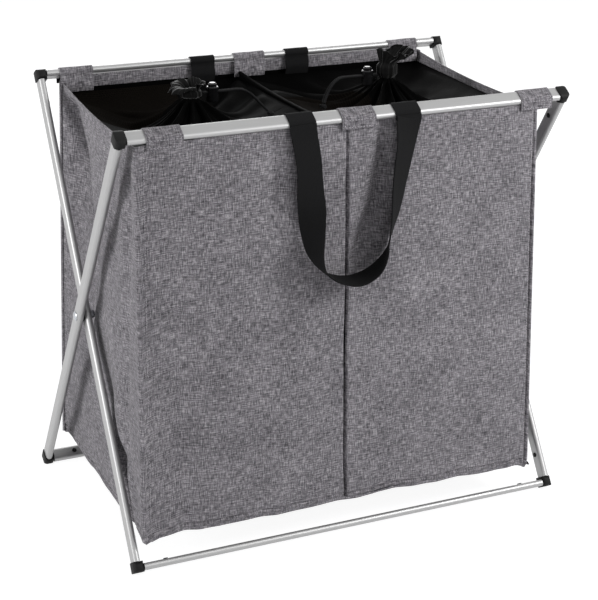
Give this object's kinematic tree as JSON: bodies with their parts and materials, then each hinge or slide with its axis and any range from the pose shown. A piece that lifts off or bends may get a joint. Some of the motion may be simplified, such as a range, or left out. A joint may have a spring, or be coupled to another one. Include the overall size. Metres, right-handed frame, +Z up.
{
  "type": "laundry hamper",
  "caption": "Folding laundry hamper: a divided cloth bag hangs by tabs from crossed frames of flat oval tube, with strap handles and gathered drawstring covers.",
  "frame": {"origin": "on the floor, below the middle of the hamper", "axes": "+Z up, +X to the right along the rails, -Y towards the front"},
  "size_m": [0.633, 0.446, 0.6055],
  "materials": {
    "anodised_tube": "satin anodised",
    "connector_plastic": "moulded, matt",
    "lock_plastic": "moulded, glossy",
    "plated_steel": "zinc plated",
    "melange_cloth": "woven melange",
    "lining_cloth": "plain woven lining",
    "webbing": "ribbed webbing",
    "cord": "braided"
  },
  "bodies": {
    "frame_a": {"front_top_rail": "anodised_tube", "rear_bottom_rail": "anodised_tube", "left_outer_leg": "anodised_tube", "right_inner_leg": "anodised_tube", "corner_front_top_left": "connector_plastic", "corner_front_top_right": "connector_plastic", "corner_rear_bottom_left": "connector_plastic", "corner_rear_bottom_right": "connector_plastic", "pivot_bolt_left": "plated_steel", "pivot_bolt_right": "plated_steel", "pivot_washer_left": "connector_plastic", "pivot_washer_right": "connector_plastic", "pivot_nut_left": "plated_steel", "pivot_nut_right": "plated_steel"},
    "frame_b": {"rear_top_rail": "anodised_tube", "front_bottom_rail": "anodised_tube", "right_outer_leg": "anodised_tube", "left_inner_leg": "anodised_tube", "corner_rear_top_left": "connector_plastic", "corner_rear_top_right": "connector_plastic", "corner_front_bottom_left": "connector_plastic", "corner_front_bottom_right": "connector_plastic"},
    "bag": {"front_panel": "melange_cloth", "left_side_panel": "melange_cloth", "right_side_panel": "melange_cloth", "base_panel": "melange_cloth", "centre_divider": "lining_cloth", "left_cover": "lining_cloth", "right_cover": "lining_cloth", "front_tab_left": "melange_cloth", "front_tab_middle": "melange_cloth", "front_tab_right": "melange_cloth", "front_strap_end_left": "webbing", "front_strap_end_right": "webbing"},
    "back_panel": {"back_panel": "melange_cloth", "rear_tab_left": "melange_cloth", "rear_tab_middle": "melange_cloth", "rear_tab_right": "melange_cloth", "rear_strap_end_left": "webbing", "rear_strap_end_right": "webbing"},
    "front_strap": {"front_strap_loop": "webbing"},
    "rear_strap": {"rear_strap_loop": "webbing"},
    "left_neck": {"left_cover_neck": "lining_cloth", "left_drawstring_front": "cord", "left_drawstring_rear": "cord", "left_drawstring_knot": "cord"},
    "right_neck": {"right_cover_neck": "lining_cloth", "right_drawstring_front": "cord", "right_drawstring_rear": "cord", "right_drawstring_knot": "cord"},
    "left_lock": {"left_lock_barrel": "lock_plastic", "left_lock_spring": "plated_steel"},
    "right_lock": {"right_lock_barrel": "lock_plastic", "right_lock_spring": "plated_steel"},
    "left_lock_button": {"left_lock_plunger": "lock_plastic"},
    "right_lock_button": {"right_lock_plunger": "lock_plastic"}
  },
  "joints": [
    {"name": "frame_fold", "type": "hinge", "parent": "frame_a", "child": "frame_b", "pos_m": [0, 0, 0.2897], "axis": [1, 0, 0], "range_deg": [0, 57], "deforming": ["left_side_panel", "right_side_panel", "base_panel", "centre_divider", "left_cover", "right_cover", "left_cover_neck", "right_cover_neck"]},
    {"name": "bag_hang", "type": "hinge", "parent": "frame_a", "child": "bag", "pos_m": [0, -0.179, 0.5712], "axis": [1, 0, 0], "range_deg": [0, 28.5], "deforming": ["front_tab_left", "front_tab_middle", "front_tab_right", "front_strap_end_left", "front_strap_end_right"]},
    {"name": "back_panel_hang", "type": "hinge", "parent": "frame_b", "child": "back_panel", "pos_m": [0, 0.179, 0.5712], "axis": [1, 0, 0], "range_deg": [-28.5, 0], "deforming": ["rear_tab_left", "rear_tab_middle", "rear_tab_right", "rear_strap_end_left", "rear_strap_end_right"]},
    {"name": "front_strap_swing", "type": "hinge", "parent": "bag", "child": "front_strap", "pos_m": [0, -0.1903, 0.56605], "axis": [-1, 0, 0], "range_deg": [0, 170]},
    {"name": "rear_strap_swing", "type": "hinge", "parent": "back_panel", "child": "rear_strap", "pos_m": [0, 0.1903, 0.56605], "axis": [1, 0, 0], "range_deg": [0, 170]},
    {"name": "left_neck_carry", "type": "slide", "parent": "bag", "child": "left_neck", "axis": [0, -1, 0], "range_m": [0, 0.16]},
    {"name": "right_neck_carry", "type": "slide", "parent": "bag", "child": "right_neck", "axis": [0, -1, 0], "range_m": [0, 0.17]},
    {"name": "left_lock_slide", "type": "slide", "parent": "left_neck", "child": "left_lock", "axis": [1, 0, 0], "range_m": [0, 0.026]},
    {"name": "right_lock_slide", "type": "slide", "parent": "right_neck", "child": "right_lock", "axis": [-1, 0, 0], "range_m": [0, 0.026]},
    {"name": "left_lock_press", "type": "slide", "parent": "left_lock", "child": "left_lock_button", "axis": [0, 0, -1], "range_m": [0, 0.0035], "stiffness_N_per_m": 600, "deforming": ["left_lock_spring"]},
    {"name": "right_lock_press", "type": "slide", "parent": "right_lock", "child": "right_lock_button", "axis": [0, 0, -1], "range_m": [0, 0.0035], "stiffness_N_per_m": 600, "deforming": ["right_lock_spring"]}
  ],
  "couplings": [
    {"joint": "bag_hang", "follows": "frame_fold", "ratio": 0.5},
    {"joint": "back_panel_hang", "follows": "frame_fold", "ratio": -0.5},
    {"joint": "left_neck_carry", "follows": "frame_fold", "m_per_rad": 0.157},
    {"joint": "right_neck_carry", "follows": "frame_fold", "m_per_rad": 0.167}
  ]
}
